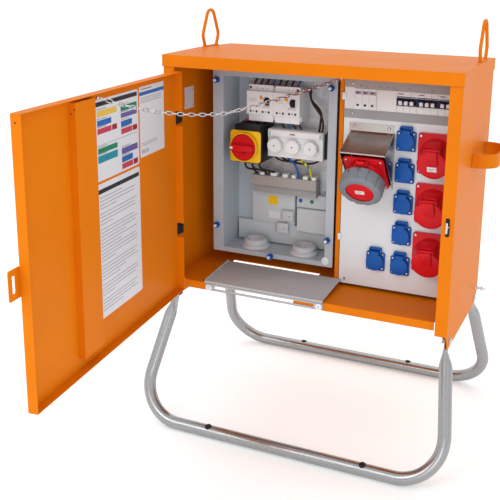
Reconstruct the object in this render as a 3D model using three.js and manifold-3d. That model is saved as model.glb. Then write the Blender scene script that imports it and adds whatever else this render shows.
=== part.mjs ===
// Portable power distribution box: a steel cabinet on a tubular stand, with an inset door,
// a supply enclosure on the left and a socket panel on the right.
// Millimetres. X runs to the right, Y to the back, Z up.
import * as THREE from "three";
import { mergeVertices } from "three/addons/utils/BufferGeometryUtils.js";
import Module from "manifold-3d";

const wasm = await Module();
wasm.setup();

// Driving dimensions. The cabinet stands centred over the floor point below its middle.
const gap = 0.3; // clearance between pieces that touch
const sheet = 2.5;
const hood = { halfWidth: 395, halfDepth: 200, top: 1000, apron: 35, fall: 4 };
const body = { halfWidth: 393, halfDepth: 196, post: 31, postBottom: 349, sideBottom: 310 };
const floorPan = { top: 378, lip: 22, lipY: -181, notchX: [-292, -20], notchBack: 22, mouthX: -255 };
const inner = { y: -40, dividerX: 42, panelX: [56, 389.5], panelZ: [386.5, 950] };
const supply = { x: [-330, 36], z: [423, 950], back: 65, flange: [32, 14, 24, 20] };
const door = { halfWidth: 359, z: [353, 955], depth: 22, openAngle: 84, hinge: [-360.5, -197] };
const tube = { radius: 16.85, bend: 110, footY: 301, footX: 431, footZ: 5, boltY: 155, boltZ: 325 };
const schuko = { x: 226, top: 796, pitch: 83.8, flange: 52, extra: [159, 464] };
const cee = { x: 306, top: 770, pitch: 130.8, tilt: 20 };
const big = { x: [76, 196], backZ: 813, frontZ: 770, bottomZ: 663, reach: 85 };
const flap = { x: [-280, 64], y: [-187, -44], z: 385, edge: 6, tilt: 5 };
const bracket = { z: [358, 377.5], slotZ: [363.5, 372], discX: [-267, 54] };
const chain = { z: 945, sag: 60, aside: 3.2, dividerEnd: [48, -50] };

const steelOrange = { color: 0xe8820e, roughness: 0.45, metalness: 0.1 };
const greyPlastic = { color: 0xb9bec4, roughness: 0.5, metalness: 0 };
const whitePlastic = { color: 0xe6e7e4, roughness: 0.45, metalness: 0 };
const panelGrey = { color: 0xcdd0d2, roughness: 0.5, metalness: 0.05 };
const brushedSteel = { color: 0x9a9a98, roughness: 0.3, metalness: 0.9 };
const bluePlastic = { color: 0x0b4fa8, roughness: 0.4, metalness: 0 };
const redPlastic = { color: 0xc4161c, roughness: 0.35, metalness: 0 };
const blackPlastic = { color: 0x17181a, roughness: 0.5, metalness: 0 };
const yellowPlastic = { color: 0xf4c20d, roughness: 0.4, metalness: 0 };
const amberPlastic = { color: 0xe88f1a, roughness: 0.4, metalness: 0 };
const ringGrey = { color: 0x83888f, roughness: 0.45, metalness: 0 };

const cabinet = new THREE.Group();

// Solids: three.js makes each shape, and manifold-3d joins and cuts them.
function toSolid(geometry) {
  const bare = geometry.clone();
  bare.deleteAttribute("normal");
  bare.deleteAttribute("uv");
  const merged = mergeVertices(bare, 1e-4);
  return new wasm.Manifold(new wasm.Mesh({
    numProp: 3,
    vertProperties: new Float32Array(merged.attributes.position.array),
    triVerts: new Uint32Array(merged.index.array),
  }));
}

function toGeometry(solid) {
  const { vertProperties, triVerts } = solid.getMesh();
  const geometry = new THREE.BufferGeometry();
  geometry.setAttribute("position", new THREE.BufferAttribute(new Float32Array(vertProperties), 3));
  geometry.setIndex(new THREE.BufferAttribute(new Uint32Array(triVerts), 1));
  geometry.computeVertexNormals();
  return geometry;
}

function add(name, solid, finish, parent = cabinet) {
  const mesh = new THREE.Mesh(toGeometry(solid), new THREE.MeshStandardMaterial(finish));
  mesh.name = name;
  parent.add(mesh);
  return mesh;
}

const join = (...solids) => solids.reduce((all, next) => all.add(next));
const cut = (solid, ...tools) => tools.reduce((rest, tool) => rest.subtract(tool), solid);

function block([x0, x1], [y0, y1], [z0, z1]) {
  const geometry = new THREE.BoxGeometry(x1 - x0, y1 - y0, z1 - z0);
  return toSolid(geometry.translate((x0 + x1) / 2, (y0 + y1) / 2, (z0 + z1) / 2));
}

// A flat outline extruded along one axis. The outline is in YZ for "x", in XZ for "y", in XY for "z".
function extrude(axis, outline, [from, to]) {
  const shape = outline instanceof THREE.Shape ? outline
    : new THREE.Shape(outline.map(([a, b]) => new THREE.Vector2(a, b)));
  const geometry = new THREE.ExtrudeGeometry(shape,
    { depth: to - from, bevelEnabled: false, curveSegments: 3 });
  const turn = new THREE.Matrix4();
  if (axis === "x") turn.set(0, 0, 1, from, 1, 0, 0, 0, 0, 1, 0, 0, 0, 0, 0, 1);
  if (axis === "y") turn.set(1, 0, 0, 0, 0, 0, -1, to, 0, 1, 0, 0, 0, 0, 0, 1);
  if (axis === "z") turn.makeTranslation(0, 0, from);
  return toSolid(geometry.applyMatrix4(turn));
}

// A cylinder whose axis is X, Y or Z, from one end to the other.
function rod(axis, [a, b], radius, [from, to], sides = 24, endRadius = radius) {
  const geometry = new THREE.CylinderGeometry(endRadius, radius, to - from, sides);
  geometry.translate(0, (from + to) / 2, 0);
  if (axis === "x") geometry.rotateZ(-Math.PI / 2).translate(0, a, b);
  if (axis === "y") geometry.translate(a, 0, b);
  if (axis === "z") geometry.rotateX(Math.PI / 2).translate(a, b, 0);
  return toSolid(geometry);
}

function roundedRect(x0, x1, z0, z1, r) {
  const shape = new THREE.Shape();
  shape.moveTo(x0 + r, z0);
  shape.lineTo(x1 - r, z0).absarc(x1 - r, z0 + r, r, -Math.PI / 2, 0);
  shape.lineTo(x1, z1 - r).absarc(x1 - r, z1 - r, r, 0, Math.PI / 2);
  shape.lineTo(x0 + r, z1).absarc(x0 + r, z1 - r, r, Math.PI / 2, Math.PI);
  shape.lineTo(x0, z0 + r).absarc(x0 + r, z0 + r, r, Math.PI, Math.PI * 1.5);
  return shape;
}

// A path of straight runs whose corners are rounded by arcs.
function roundedPath(corners, radius) {
  const path = new THREE.CurvePath();
  const points = corners.map((p) => new THREE.Vector3(...p));
  let start = points[0];
  for (let i = 1; i < points.length - 1; i++) {
    const before = points[i - 1].clone().sub(points[i]).normalize();
    const after = points[i + 1].clone().sub(points[i]).normalize();
    const half = before.angleTo(after) / 2;
    const setback = radius / Math.tan(half);
    const handle = radius * (4 / 3) * Math.tan((Math.PI - 2 * half) / 4);
    const enter = points[i].clone().addScaledVector(before, setback);
    const leave = points[i].clone().addScaledVector(after, setback);
    path.add(new THREE.LineCurve3(start, enter));
    path.add(new THREE.CubicBezierCurve3(enter, enter.clone().addScaledVector(before, -handle),
      leave.clone().addScaledVector(after, -handle), leave));
    start = leave;
  }
  path.add(new THREE.LineCurve3(start, points[points.length - 1]));
  return path;
}

function sweep(path, outline, steps) {
  const shape = new THREE.Shape(outline.map(([a, b]) => new THREE.Vector2(a, b)));
  return toSolid(new THREE.ExtrudeGeometry(shape, { steps, extrudePath: path, bevelEnabled: false }));
}

function circle(radius, sides) {
  return Array.from({ length: sides }, (_, i) => {
    const angle = (2 * Math.PI * i) / sides;
    return [radius * Math.cos(angle), radius * Math.sin(angle)];
  });
}

// Roof hood: a shallow folded tray turned upside down, with a slight ridge along its middle.
function roofHood() {
  const { halfWidth: w, halfDepth: d, top, apron, fall } = hood;
  const wall = 1.5;
  const profile = (inset) => [[-d + inset, top - apron - (inset ? 1 : 0)],
    [d - inset, top - apron - (inset ? 1 : 0)], [d - inset, top - fall - inset],
    [0, top - inset], [-d + inset, top - fall - inset]];
  const shell = cut(extrude("x", profile(0), [-w, w]), extrude("x", profile(wall), [-w + wall, w - wall]));
  add("roof_hood", shell, steelOrange);
}

// Lifting eye: a drop-shaped loop of round bar on a pad that follows the slope of the roof.
function liftingEye(name, side) {
  const { halfWidth, halfDepth: d, top, fall } = hood;
  const x = side * (halfWidth - 8);
  const [y, foot] = [55, top - 3.5];
  const drop = [[-32, 0], [-47, 36], [-14.5, 104], [14.5, 104], [47, 36], [32, 0]];
  const loop = roundedPath(drop.map(([across, up]) => [x, y + across, foot + up]), 20);
  const bar = sweep(loop, circle(4.5, 6), 30);
  const pad = block([x - 6, x + 6], [y - 40, y + 40], [foot, foot + 6]);
  const roof = [[-d, 900], [d, 900], [d, top - fall + gap], [0, top + gap], [-d, top - fall + gap]];
  add(name, cut(join(bar, pad), extrude("x", roof, [x - 20, x + 20])), steelOrange);
}

// Side plate with its front post and back flange folded from one sheet.
function sidePlate(name, side) {
  const { halfWidth: w, halfDepth: d, post, postBottom, sideBottom } = body;
  const plan = [[w, -d], [w, d], [w - 18, d], [w - 18, d - sheet], [w - sheet, d - sheet],
    [w - sheet, -d + sheet], [w - post + sheet, -d + sheet], [w - post + sheet, -172],
    [w - post, -172], [w - post, -d]].map(([x, y]) => [side * x, y]);
  const outline = [[-d - 1, postBottom], [-d + 18, sideBottom], [165, sideBottom], [d + 1, 345],
    [d + 1, 990], [-d - 1, 990]];
  const whole = extrude("z", plan, [sideBottom, 990]);
  const kept = whole.intersect(extrude("x", outline, side > 0 ? [300, 400] : [-400, -300]));
  const low = block(side > 0 ? [360, w - sheet] : [-w + sheet, -360], [-d - 1, -150], [300, postBottom]);
  const holes = [-1, 1].map((end) => rod("x", [end * tube.boltY, tube.boltZ], 5.5,
    side > 0 ? [380, 400] : [-400, -380], 12));
  add(name, cut(kept, low, ...holes), steelOrange);
}

function backPlate() {
  const y = body.halfDepth - sheet - gap;
  add("back_plate", block([-390, 390], [y - sheet, y], [345, 988]), steelOrange);
}

// Floor pan with a front lip, and a notch where the supply cables leave the cabinet.
function floorPlate() {
  const { top, lip, lipY, notchX, notchBack, mouthX } = floorPan;
  const pan = block([-390, 390], [lipY, 190], [top - sheet, top]);
  const fold = block([-361, 361], [lipY, lipY + sheet], [top - lip, top]);
  const notch = block(notchX, [lipY + 18, notchBack], [top - lip - 1, top + 1]);
  const mouth = block([mouthX, notchX[1]], [lipY - 10, lipY + 20], [top - lip - 1, top + 1]);
  // Corners cut away where the door's rims stand when shut and sweep past as it swings.
  const clearance = [[-391, -342.5], [356.4, 391]].map((reach) => block(reach,
    [lipY - 1, -171.5], [top - lip - 1, top + 1]));
  add("floor_plate", cut(join(pan, fold), notch, mouth, ...clearance), steelOrange);
}

function divider() {
  const x = inner.dividerX;
  const outline = [[x, inner.y + 2], [x + 12, inner.y + 2], [x + 12, inner.y + 30],
    [x + 12 - sheet, inner.y + 30], [x + 12 - sheet, inner.y + 2 + sheet], [x + sheet, inner.y + 2 + sheet],
    [x + sheet, 190], [x, 190]];
  add("divider", extrude("z", outline, [floorPan.top + gap, 988]), steelOrange);
}

// Supply enclosure: a deep plastic box with a wide front flange, open to the front.
function supplyBox() {
  const [x0, x1] = supply.x;
  const [z0, z1] = supply.z;
  const [left, bottom, right, top] = supply.flange;
  const [i0, i1, k0, k1] = [x0 + left, x1 - right, z0 + bottom, z1 - top];
  const wall = 3;
  const y = inner.y;
  const frame = extrude("y", roundedRect(x0, x1, z0, z1, 3), [y, y + 4]);
  const tub = block([i0 - wall, i1 + wall], [y + 1, supply.back], [k0 - wall, k1 + wall]);
  const hollow = block([i0, i1], [y - 1, supply.back - wall], [k0, k1]);
  const holes = [[-215, 5], [-65, 5]].map((at) => rod("z", at, 30, [z0 - 1, k0 + 1], 16));
  add("supply_box", cut(join(frame, tub), hollow, ...holes), greyPlastic);
}

// Residual-current breaker, with a raised middle band and a slot for its rocker and its button.
function residualBreaker(name, [x0, x1], rockerX, buttonX) {
  const back = supply.back - 3 - gap;
  const base = block([x0, x1], [0, back], [812, 901]);
  const band = block([x0, x1], [-15, 0.5], [826, 890]);
  const tail = block([x0 + 3, x1 - 3], [-6, 0.5], [806, 826.5]);
  const head = block([x0 + 3, x1 - 3], [-6, 0.5], [889.5, 907]);
  const rockerSlot = block([rockerX - 7, rockerX + 7], [-16, 4], [852, 875]);
  const buttonBore = rod("y", [buttonX, 873], 5, [-16, 2], 12);
  add(name, cut(join(base, band, tail, head), rockerSlot, buttonBore), whitePlastic);
  const suffix = name.split("_").pop();
  const rocker = join(rod("x", [-12, 863.5], 9.5, [rockerX - 6.5, rockerX + 6.5], 14),
    block([rockerX - 5, rockerX + 5], [-26, -14], [864, 870]));
  add(`rcd_rocker_${suffix}`, rocker, blackPlastic);
  add(`rcd_test_button_${suffix}`, rod("y", [buttonX, 873], 4.5, [-18, -5], 12), amberPlastic);
}

// Three screw-in fuses under one cover, and a control unit in the lower right corner.
function supplyDevices() {
  const back = supply.back - 3 - gap;
  const cover = join(block([-175, -12.5], [-8, back], [711, 788]),
    block([-173, -14.5], [-14, -7], [770, 786]));
  const caps = [-149.5, -97.3, -44.2].map((x) => rod("y", [x, 744.6], 20, [-26, -7], 16));
  add("fuse_block", join(cover, ...caps), whitePlastic);
  add("control_unit", block([-100, -3], [30, back], [491, 559]), greyPlastic);
}

// Main switch: a black body, a yellow plate and a red rotary handle.
function mainSwitch() {
  const back = supply.back - 3 - gap;
  const centre = [-227, 739];
  const plate = extrude("y", roundedRect(-273, -181, 695, 783, 5), [-46, -41]);
  const casing = block([-262, -186], [-41.5, back], [690, 800]);
  const collar = rod("y", centre, 39, [-52, -45], 24);
  const bore = rod("y", centre, 8.5, [-53, -30], 10);
  add("main_switch", cut(join(plate, casing, collar), bore), yellowPlastic);
  const disc = rod("y", centre, 36.5, [-62, -52.3], 24);
  const grip = block([centre[0] - 35, centre[0] + 35], [-78, -61], [centre[1] - 9, centre[1] + 9]);
  const spindle = rod("y", centre, 8, [-53, -31], 10);
  const reach = rod("y", centre, 36, [-80, -60], 24);
  add("switch_handle", join(disc, grip.intersect(reach), spindle), redPlastic);
}

// Socket panel with one opening for each outlet and a window for the breakers.
function socketPanel() {
  const y = inner.y;
  const sheetPanel = block(inner.panelX, [y, y + 2], inner.panelZ);
  const holes = schukoPlaces().map(([x, z]) => block([x - 22, x + 22], [y - 1, y + 3], [z - 22, z + 22]));
  for (const z of ceePlaces()) holes.push(block([cee.x - 38, cee.x + 38], [y - 1, y + 3], [z - 44, z + 38]));
  holes.push(block([84, 357], [y - 1, y + 3], [868, 923]));
  holes.push(block([big.x[0] + 6, big.x[1] - 6], [y - 1, y + 3], [big.bottomZ + 12, big.backZ - 16]));
  add("socket_panel", cut(sheetPanel, ...holes), panelGrey);
}

function schukoPlaces() {
  const places = Array.from({ length: 5 }, (_, i) => [schuko.x, schuko.top - schuko.pitch * i]);
  return [...places, schuko.extra];
}

function ceePlaces() {
  return Array.from({ length: 3 }, (_, i) => cee.top - cee.pitch * i);
}

// Breaker row: one strip of modules, with three tied rockers that move on their own.
function breakerRow() {
  const y = inner.y;
  const row = block([84.5, 356.5], [y - 3, y + 60], [868.5, 922.5]);
  const slots = [];
  for (let i = 0; i < 3; i++) {
    const x = 195.7 + 53.5 * i;
    slots.push(block([x + 5, x + 48.5], [y - 4, y + 10], [886, 906]));
    const tie = block([x + 6, x + 47.5], [y - 10, y - 6], [894, 900]);
    const poles = [0, 1, 2].map((k) => rod("x", [y - 1, 896], 8.5,
      [x + 6 + 14.5 * k, x + 18.5 + 14.5 * k], 10));
    const levers = [0, 1, 2].map((k) => block([x + 8 + 14.5 * k, x + 16.5 + 14.5 * k],
      [y - 13, y - 7], [893, 901]));
    const shaft = rod("x", [y - 1, 896], 4, [x + 6, x + 47.5], 6);
    add(`breaker_rocker_${i + 1}`, join(...poles, ...levers, tie, shaft), blackPlastic);
  }
  add("breaker_row", cut(row, ...slots), whitePlastic);
}

// Earthed single-phase socket with a sprung lid hinged at its top.
function schukoSocket(index, [x, z]) {
  const y = inner.y - gap;
  const half = schuko.flange / 2;
  const plate = extrude("y", roundedRect(x - half, x + half, z - half, z + half, 4), [y - 3.5, y]);
  const collar = rod("y", [x, z], 22.5, [y - 12, y - 3], 18);
  const cup = rod("y", [x, z], 21, [y - 4, y + 26], 12);
  const recess = rod("y", [x, z], 19.5, [y - 13, y + 5.5], 16);
  const posts = [x - 15, x + 15].map((at) => block([at - 2, at + 2], [y - 12, y - 3], [z + 23, z + 30]));
  const ears = posts.map((post) => post.add(block([x - 17, x + 17], [y - 3.5, y - 2], [z + 22, z + 30])));
  add(`schuko_socket_${index}`, cut(join(plate, collar, cup, ...ears), recess), bluePlastic);
  const barrel = rod("x", [y - 9.5, z + 27], 2.5, [x - 12.5, x + 12.5], 8);
  const arm = block([x - 12, x + 12], [y - 16, y - 12.4], [z + 15, z + 29]);
  const rib = block([x - 12, x + 12], [y - 13, y - 10], [z + 25, z + 29]);
  const lid = rod("y", [x, z], 23.5, [y - 16, y - 12.4], 18);
  add(`schuko_lid_${index}`, join(barrel, arm, rib, lid), bluePlastic);
}

// Three-phase socket: a wedge-shaped housing that looks down, with a hinged lid.
function ceeSocket(index, z) {
  const x = cee.x;
  const y = inner.y - gap;
  const flange = extrude("y", roundedRect(x - 48, x + 48, z - 53, z + 53, 5), [y - 8, y]);
  add(`cee_socket_${index}`, cut(join(flange, rod("y", [x, z], 35, [y - 9, y + 40], 16),
    tilted(rod("y", [0, 0], 33, [-44, 26], 20), x, y, z)),
  tilted(rod("y", [0, 0], 27, [-45, 2], 16), x, y, z)), redPlastic);
  const pad = rod("y", [0, 0], 36, [-50, -44.4], 20);
  const strap = block([-13, 13], [-50, -44.4], [20, 42]);
  const barrel = rod("x", [-44, 42], 4, [-13, 13], 8);
  add(`cee_lid_${index}`, tilted(join(pad, strap, barrel), x, y, z), redPlastic);
}

// The outlet's own frame: turned down about X, with its centre just under the flange's middle.
function tilted(solid, x, y, z) {
  return solid.rotate([cee.tilt, 0, 0]).translate([x, y - 2, z - 4]);
}

// High-current socket under a folded stainless hood, closed by a lid and a bayonet ring.
function bigSocket() {
  const [x0, x1] = big.x;
  const y = inner.y - gap;
  const front = y - big.reach;
  const outer = [[y, big.bottomZ], [y, big.backZ], [front, big.frontZ], [front, big.frontZ - 3]];
  const slope = Math.atan2(big.frontZ - 3 - big.bottomZ, big.reach);
  const hollow = [[y + 1, big.bottomZ - 6], [y + 1, big.backZ - 2], [front + 2, big.frontZ - 2],
    [front - 4, big.frontZ - 14]];
  const shell = cut(extrude("x", outer, [x0, x1]), extrude("x", hollow, [x0 + 1.5, x1 - 1.5]));
  const tab = block([x0 - 4, x1 - 4], [y - 1.5, y], [big.backZ - 2, big.backZ + 20]);
  add("hood_63", join(shell, tab), brushedSteel);
  // The outlet's frame: W runs out of the sloping face, V runs up along it.
  const outlet = new THREE.Group();
  outlet.position.set((x0 + x1) / 2, (y + front) / 2 + 4, (big.frontZ + big.bottomZ) / 2 - 1);
  outlet.rotation.x = Math.PI / 2 - slope;
  cabinet.add(outlet);
  const flange = extrude("y", roundedRect(-53.5, 53.5, -57, 57, 6), [-8, 0]);
  const barrel = join(rod("y", [0, 0], 38, [-46, 20], 24), rod("y", [0, 0], 34, [-60, -45], 24));
  add("socket_63", cut(join(flange, barrel), rod("y", [0, 0], 31, [-61, -8], 20)), redPlastic, outlet);
  const skirt = cut(rod("y", [0, 0], 44, [-68, -22], 24), rod("y", [0, 0], 41, [-64, -20], 24));
  const arm = block([-10, 10], [-27, -22], [42, 64]);
  const knuckle = rod("x", [-24.5, 64], 4, [-10, 10], 12);
  add("socket_63_lid", join(skirt, arm, knuckle), redPlastic, outlet);
  const ring = cut(rod("y", [0, 0], 57, [-66, -30], 24), rod("y", [0, 0], 44.8, [-67, -29], 24));
  add("bayonet_ring_63", ring, ringGrey, outlet);
}

// Door, drawn shut and then swung open about its hinge line.
function doorLeaf() {
  const { halfWidth: w, z: [z0, z1], depth } = door;
  const y = -196;
  const tray = cut(block([-w, w], [y, y + depth], [z0, z1]),
    block([-w + 2, w - 2], [y + 2, y + depth + 1], [z0 + 2, z1 - 2]));
  const stiffener = cut(block([83, 165], [y + 1, y + 18], [z0 + 30, z1 - 8]),
    block([85, 163], [y + 1.9, y + 16], [z0 + 32, z1 - 10]));
  const vents = [z0 + 29, z1 - 11].map((z) => block([95, 153], [y + 3, y + 14], [z, z + 4]));
  const tongue = extrude("y", roundedRect(w - 4, w + 34, 599, 661, 4), [y - 3.5, y - 1.5]);
  const weld = block([w - 4, w - 0.5], [y - 2, y + 0.5], [601, 659]);
  const slot = block([w + 13, w + 23], [y - 5, y], [612, 648]);
  const notches = hingePlaces().map((z) => block([-w - 1, -w + 18], [y + 2.2, y + depth + 1],
    [z - 20, z + 20]));
  const leaf = cut(join(tray, cut(stiffener, ...vents), tongue, weld), slot, ...notches);
  const swing = new THREE.Group();
  swing.position.set(...door.hinge, 0);
  swing.rotation.z = THREE.MathUtils.degToRad(-door.openAngle);
  cabinet.add(swing);
  add("door", leaf.translate([-door.hinge[0], -door.hinge[1], 0]), steelOrange, swing);
}

function hingePlaces() {
  return [524, 830];
}

function doorHinge(name, z) {
  const x = -body.halfWidth + body.post + gap;
  add(name, join(block([x, x + 4], [-192, -174], [z - 17, z + 17]),
    block([x + 3, x + 13], [-190, -178], [z - 12, z + 12])), blackPlastic);
}

// T-headed staple on the right post: the door's tongue drops over it and a turn locks it.
function latch() {
  const x = door.halfWidth + 18;
  const y = -body.halfDepth - gap;
  add("latch", join(rod("y", [x, 630], 8, [y - 1, y], 12), rod("y", [x, 630], 2.5, [y - 9, y], 8),
    block([x - 2.5, x + 2.5], [y - 12, y - 8], [616, 644])), brushedSteel);
}

// Cable flap: a plate over the floor notch, hinged along its folded front edge.
function cableFlap() {
  const [x0, x1] = flap.x;
  const length = flap.y[1] - flap.y[0];
  const plate = block([x0, x1], [0, length], [-2, 0]);
  const rim = block([x0, x0 + 2], [6, length], [-1, 4]);
  const leaf = join(plate, rim).rotate([flap.tilt, 0, 0]);
  const edge = block([x0, x1], [0, 2], [-flap.edge, -0.1]);
  add("cable_flap", join(leaf, edge).translate([0, flap.y[0], flap.z]), panelGrey);
}

// Slotted bar across the mouth of the notch, held on the lip by two broad disc bolts.
function flapBracket() {
  const [x0, x1] = flap.x;
  const y = floorPan.lipY - gap;
  const bar = block([x0, x1], [y - 3, y], bracket.z);
  const slot = block([bracket.discX[0] + 16, bracket.discX[1] - 16], [y - 4, y + 1], bracket.slotZ);
  const middle = (bracket.z[0] + bracket.z[1]) / 2;
  const discs = bracket.discX.map((x) => rod("y", [x, middle], 9, [y - 7, y - 2], 16));
  add("flap_bracket", join(cut(bar, slot), ...discs), panelGrey);
}

// Carrying handle: a flat bar folded to a U and welded to the side plate.
function handle(name, side) {
  const x = side * (body.halfWidth + gap);
  const path = roundedPath([[x, -30, 760], [x + side * 58, -30, 760], [x + side * 58, 146, 760],
    [x, 146, 760]], 24);
  add(name, sweep(path, [[-18, -2.5], [18, -2.5], [18, 2.5], [-18, 2.5]], 22), steelOrange);
}

// Stand loop: one tube bent to a U, its flattened ends bolted inside the side plates.
function standLoop(name, end) {
  const top = [384, end * tube.boltY, tube.boltZ];
  const foot = [tube.footX, end * tube.footY, tube.footZ];
  const along = new THREE.Vector3(foot[0] - top[0], foot[1] - top[1], foot[2] - top[2]).normalize();
  const start = top.map((value, i) => value + along.toArray()[i] * 22);
  const mirror = ([x, y, z]) => [-x, y, z];
  const path = roundedPath([mirror(start), mirror(foot), foot, start], tube.bend);
  const loop = sweep(path, circle(tube.radius, 10), 44);
  const lug = [-1, 1].map((side) => {
    const flat = extrude("x", roundedRect(-17, 17, -48, 18, 10), [-4, 4]);
    const lean = THREE.MathUtils.radToDeg(Math.atan2(-along.y, -along.z));
    return flat.rotate([-lean, 0, 0]).translate([side * 385.5, top[1], top[2]]);
  });
  const inside = block([-389.6, 389.6], [-400, 400], [-10, 420]);
  const bolts = [[380, 400], [-400, -380]].map((reach) => rod("x", [top[1], top[2]], 5, reach, 12));
  const nearTop = cut(block([-450, 450], [-400, 400], [290, 420]), inside);
  add(name, join(cut(join(loop, ...lug), nearTop), ...bolts), brushedSteel);
}

// Door chain: two halves that meet at the lowest link, each hung from a swivelling hook.
function doorChain() {
  const [hx, hy] = door.hinge;
  const open = THREE.MathUtils.degToRad(-door.openAngle);
  const [ex, ey] = chain.dividerEnd;
  const reach = Math.hypot(ex - hx, ey - hy);
  const bearing = open + Math.atan2(door.depth - 3, reach);
  const doorEnd = [hx + reach * Math.cos(bearing), hy + reach * Math.sin(bearing), chain.z];
  const wallEnd = [ex, ey, chain.z];
  const middle = [(doorEnd[0] + ex) / 2, (doorEnd[1] + ey) / 2, chain.z - chain.sag];
  for (const [label, from] of [["door", doorEnd], ["cabinet", wallEnd]]) {
    const way = new THREE.Vector3(middle[0] - from[0], middle[1] - from[1], middle[2] - from[2]);
    const unit = way.clone().normalize();
    const a = new THREE.Vector3(...from).addScaledVector(unit, 7);
    const aside = new THREE.Vector3(unit.y, -unit.x, 0).setLength(chain.aside);
    const b = new THREE.Vector3(...middle).addScaledVector(unit, -3).add(aside);
    const bend = a.clone().lerp(b, 0.5).add(new THREE.Vector3(0, 0, -12));
    const curve = new THREE.QuadraticBezierCurve3(a, bend, b);
    add(`chain_${label}_half`, sweep(curve, circle(2.5, 6), 8), brushedSteel);
    add(`chain_hook_${label}`, toSolid(new THREE.SphereGeometry(4, 8, 6).translate(...from)), brushedSteel);
  }
}

roofHood();
liftingEye("lifting_eye_left", -1);
liftingEye("lifting_eye_right", 1);
sidePlate("side_plate_left", -1);
sidePlate("side_plate_right", 1);
backPlate();
floorPlate();
divider();
supplyBox();
residualBreaker("rcd_left", [-238, -159.2], -177, -194.5);
residualBreaker("rcd_right", [-158.8, -80], -100.4, -119.8);
supplyDevices();
mainSwitch();
socketPanel();
breakerRow();
schukoPlaces().forEach((place, i) => schukoSocket(i + 1, place));
ceePlaces().forEach((z, i) => ceeSocket(i + 1, z));
bigSocket();
doorLeaf();
hingePlaces().forEach((z, i) => doorHinge(`door_hinge_${i ? "upper" : "lower"}`, z));
latch();
cableFlap();
flapBracket();
handle("handle_left", -1);
handle("handle_right", 1);
standLoop("stand_front", -1);
standLoop("stand_rear", 1);
doorChain();

// The origin is the floor point below the middle of everything, with the door standing open.
const extent = new THREE.Box3().setFromObject(cabinet, true);
const middle = extent.getCenter(new THREE.Vector3());
cabinet.position.set(-middle.x, -middle.y, -extent.min.z);
const distributionBox = new THREE.Group();
distributionBox.add(cabinet);

export default distributionBox;
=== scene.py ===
import math
import bpy
import bmesh
from mathutils import Matrix, Vector


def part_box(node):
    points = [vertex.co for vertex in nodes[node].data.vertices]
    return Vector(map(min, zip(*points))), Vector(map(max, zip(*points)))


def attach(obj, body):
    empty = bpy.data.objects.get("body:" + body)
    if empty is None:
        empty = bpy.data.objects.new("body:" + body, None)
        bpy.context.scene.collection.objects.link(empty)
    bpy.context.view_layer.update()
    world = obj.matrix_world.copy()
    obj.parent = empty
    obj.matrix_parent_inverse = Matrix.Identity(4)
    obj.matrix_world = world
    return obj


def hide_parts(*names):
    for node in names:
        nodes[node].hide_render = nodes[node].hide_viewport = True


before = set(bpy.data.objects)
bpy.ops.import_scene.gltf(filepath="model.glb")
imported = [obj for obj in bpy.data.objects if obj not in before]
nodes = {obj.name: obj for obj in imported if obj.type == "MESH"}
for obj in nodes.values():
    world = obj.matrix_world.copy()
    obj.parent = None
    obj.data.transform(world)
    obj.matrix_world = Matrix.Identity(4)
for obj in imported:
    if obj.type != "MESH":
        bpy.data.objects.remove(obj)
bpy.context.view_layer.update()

# Everything below is drawn in millimetres from the floor point under the cabinet's middle.
roofLow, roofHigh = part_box("roof_hood")
cabinetFoot = Vector(((roofLow.x + roofHigh.x) / 2, (roofLow.y + roofHigh.y) / 2, roofHigh.z - 1.0))
toRow = Matrix.Translation(cabinetFoot) @ Matrix.Scale(0.001, 4)

# The door is drawn shut and swung open about its hinge line, as it hangs at rest.
doorHinge = Vector((-360.5, -197, 0))
doorOpen = math.radians(-84)
doorSwing = (Matrix.Translation(doorHinge) @ Matrix.Rotation(doorOpen, 4, "Z")
             @ Matrix.Translation(-doorHinge))
panelFace = -40.3  # front of the socket panel, where the flanges sit


# ---- camera, light and floor ----
view = {"place": (768, -2117, 1219), "turn": 22.88, "pitch": -14.03, "roll": 1.01,
        "lens": 61.06, "shift": (-0.07, -0.14)}
light = {"sky": 1.0, "key": 34, "fill": 2, "rim": 8, "low": 5}


def aimCamera():
    data = bpy.data.cameras.new("camera")
    camera = bpy.data.objects.new("camera", data)
    bpy.context.collection.objects.link(camera)
    data.sensor_width = 36
    data.lens = view["lens"]
    data.shift_x, data.shift_y = view["shift"]
    data.clip_end = 100
    turn = (Matrix.Rotation(math.radians(view["turn"]), 4, "Z")
            @ Matrix.Rotation(math.radians(90 + view["pitch"]), 4, "X")
            @ Matrix.Rotation(math.radians(view["roll"]), 4, "Z"))
    camera.matrix_world = Matrix.Translation(toRow @ Vector(view["place"])) @ turn
    bpy.context.scene.camera = camera


def lamp(name, place, target, size, power):
    data = bpy.data.lights.new(name, "AREA")
    data.shape = "RECTANGLE"
    data.size, data.size_y = size
    data.energy = power
    lampObject = bpy.data.objects.new(name, data)
    bpy.context.collection.objects.link(lampObject)
    way = Vector(target) - Vector(place)
    lampObject.matrix_world = Matrix.Translation(place) @ way.to_track_quat("-Z", "Y").to_matrix().to_4x4()


def lightStudio():
    scene = bpy.context.scene
    scene.view_settings.view_transform = "Standard"
    world = bpy.data.worlds.new("studio")
    scene.world = world
    world.use_nodes = True
    back = world.node_tree.nodes["Background"]
    back.inputs["Color"].default_value = (1.0, 1.0, 1.0, 1)
    back.inputs["Strength"].default_value = light["sky"]
    lamp("key", (-1.6, -3.2, 3.0), (0, 0.1, 0.6), (2.4, 1.8), light["key"])
    lamp("fill", (3.2, -2.0, 1.6), (0, 0.2, 0.6), (2.0, 2.0), light["fill"])
    lamp("rim", (-0.4, 2.6, 2.8), (0, 0.3, 0.8), (2.6, 1.2), light["rim"])
    lamp("low", (0.9, -2.6, 0.5), (0.1, 0.1, 0.6), (1.2, 0.8), light["low"])


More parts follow.
